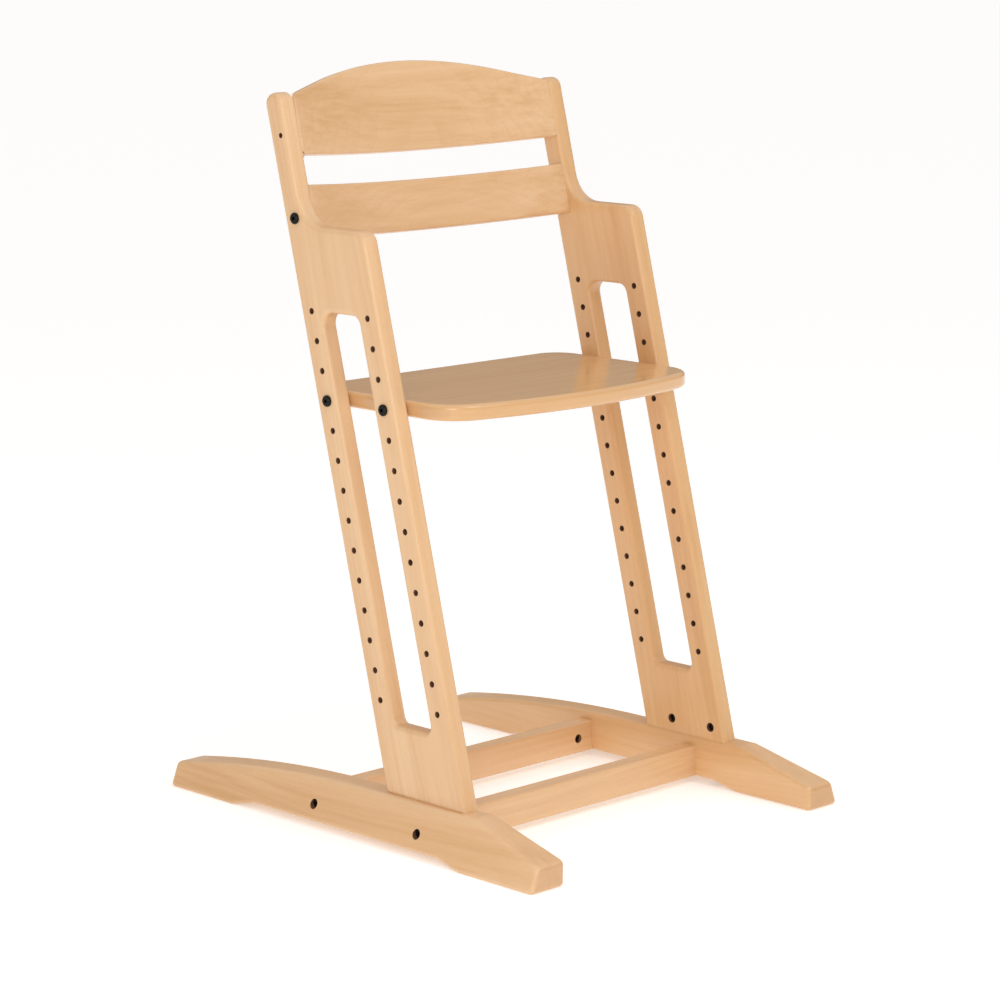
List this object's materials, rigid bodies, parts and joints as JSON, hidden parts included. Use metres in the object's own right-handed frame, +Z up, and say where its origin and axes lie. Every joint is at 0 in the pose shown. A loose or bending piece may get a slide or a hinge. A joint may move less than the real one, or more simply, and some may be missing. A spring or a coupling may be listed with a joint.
{
  "type": "baby high chair",
  "caption": "Grow-along wooden high chair: leaning side frames with rows of holes on floor runners, a bolted seat board and two bowed back rails.",
  "frame": {"origin": "on the floor, midway between the runners and between their ends", "axes": "+Z up, +Y to the back of the chair, +X to the right side frame as seen from the front-facing camera at -Y"},
  "size_m": [0.496, 0.592, 0.8322],
  "materials": {
    "beech_board": "satin",
    "beech_rail": "satin",
    "beech_seat": "satin",
    "beech_dowel": "matte",
    "black_bolt": "satin",
    "zinc_metal": "satin"
  },
  "bodies": {
    "frame": {"left_side_frame": "beech_board", "right_side_frame": "beech_board", "left_runner": "beech_board", "right_runner": "beech_board", "front_crossbar": "beech_board", "rear_crossbar": "beech_board", "top_back_rail": "beech_rail", "lower_back_rail": "beech_rail", "lower_rail_bolts": "black_bolt", "lower_rail_inserts": "zinc_metal", "top_rail_pins": "zinc_metal", "rail_dowels": "beech_dowel", "front_crossbar_bolts": "black_bolt", "rear_crossbar_bolts": "black_bolt", "crossbar_barrel_nuts": "black_bolt", "crossbar_dowels": "beech_dowel", "left_frame_bolts": "black_bolt", "right_frame_bolts": "black_bolt", "frame_barrel_nuts": "black_bolt", "frame_dowels": "beech_dowel"},
    "seat": {"seat_plate": "beech_seat", "seat_inserts": "zinc_metal"},
    "front_left_seat_bolt": {"front_left_seat_bolt": "black_bolt"},
    "rear_left_seat_bolt": {"rear_left_seat_bolt": "black_bolt"},
    "front_right_seat_bolt": {"front_right_seat_bolt": "black_bolt"},
    "rear_right_seat_bolt": {"rear_right_seat_bolt": "black_bolt"}
  },
  "joints": [
    {"name": "seat_height", "type": "slide", "parent": "frame", "child": "seat", "axis": [0, 0.247, 0.969], "range_m": [-0.297, 0.099]},
    {"name": "front_left_bolt_withdraw", "type": "slide", "parent": "seat", "child": "front_left_seat_bolt", "axis": [-1, 0, 0], "range_m": [0, 0.06]},
    {"name": "rear_left_bolt_withdraw", "type": "slide", "parent": "seat", "child": "rear_left_seat_bolt", "axis": [-1, 0, 0], "range_m": [0, 0.06]},
    {"name": "front_right_bolt_withdraw", "type": "slide", "parent": "seat", "child": "front_right_seat_bolt", "axis": [1, 0, 0], "range_m": [0, 0.06]},
    {"name": "rear_right_bolt_withdraw", "type": "slide", "parent": "seat", "child": "rear_right_seat_bolt", "axis": [1, 0, 0], "range_m": [0, 0.06]}
  ]
}
